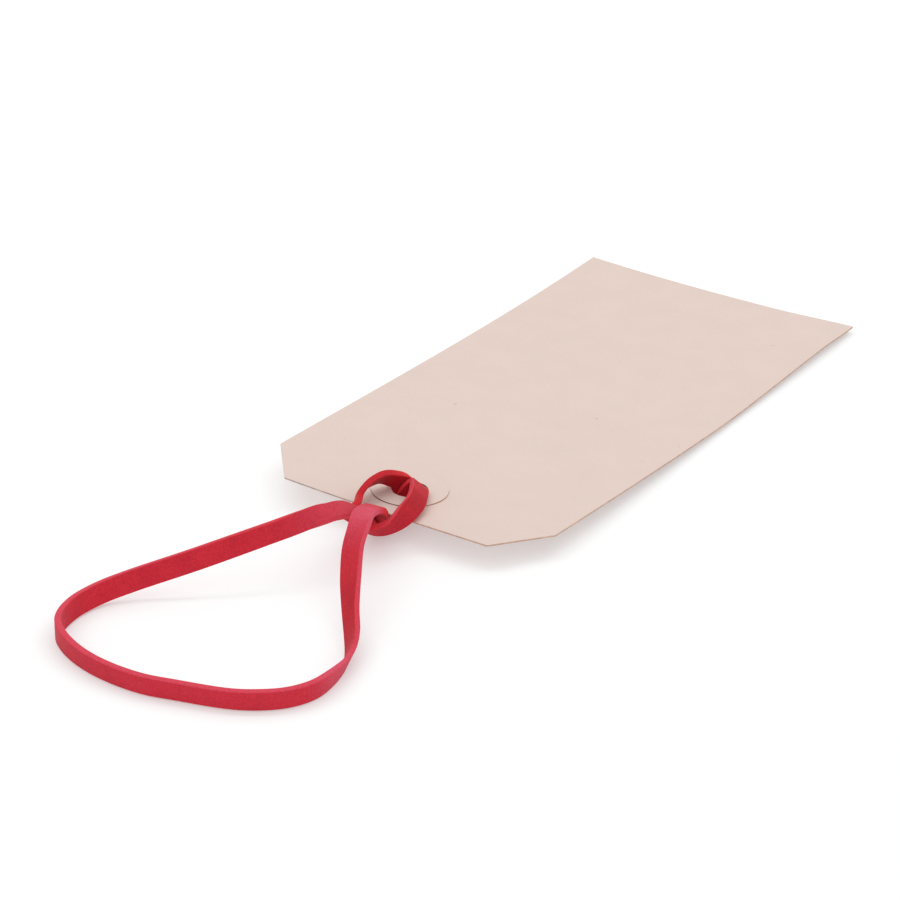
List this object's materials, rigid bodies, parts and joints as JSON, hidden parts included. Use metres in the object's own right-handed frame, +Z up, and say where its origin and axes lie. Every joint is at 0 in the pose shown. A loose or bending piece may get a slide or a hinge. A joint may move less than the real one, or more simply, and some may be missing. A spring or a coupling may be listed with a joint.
{
  "type": "strung manila tag",
  "caption": "Gently bent buff paper tag with clipped corners, a patched hole and a flat red rubber band hitched through the hole as a tying loop.",
  "frame": {"origin": "centre of the card's footprint, on the table it lies on", "axes": "+X along the card towards its plain end, +Y across the card, +Z up"},
  "size_m": [0.1897, 0.06, 0.0132],
  "materials": {
    "card_stock": "matt buff tag stock with a fine mottle",
    "patch_paper": "matt buff paper disc glued flat, with a brown cut edge",
    "band_rubber": "dull red rubber with a faint bloom"
  },
  "bodies": {
    "tag": {"tag_card": "card_stock", "front_patch": "patch_paper", "back_patch": "patch_paper"},
    "hitch": {"band_hitch": "band_rubber"},
    "loop": {"band_left_leg": "band_rubber", "band_front_leg": "band_rubber"},
    "bow": {"band_bow": "band_rubber"}
  },
  "joints": [
    {"name": "hitch_swivel", "type": "hinge", "parent": "tag", "child": "hitch", "pos_m": [-0.0496, 0.001, 0.0045], "axis": [0, 0, 1], "range_deg": [-8, 8]},
    {"name": "loop_lift", "type": "hinge", "parent": "hitch", "child": "loop", "pos_m": [-0.0733, -0.0023, 0.0113], "axis": [0.1004, 0.9937, -0.0502], "range_deg": [-20, 95], "deforming": ["band_left_leg", "band_front_leg"]},
    {"name": "loop_stretch", "type": "slide", "parent": "loop", "child": "bow", "axis": [-1, 0, 0], "range_m": [0, 0.08], "stiffness_N_per_m": 130, "deforming": ["band_left_leg", "band_front_leg"]}
  ]
}
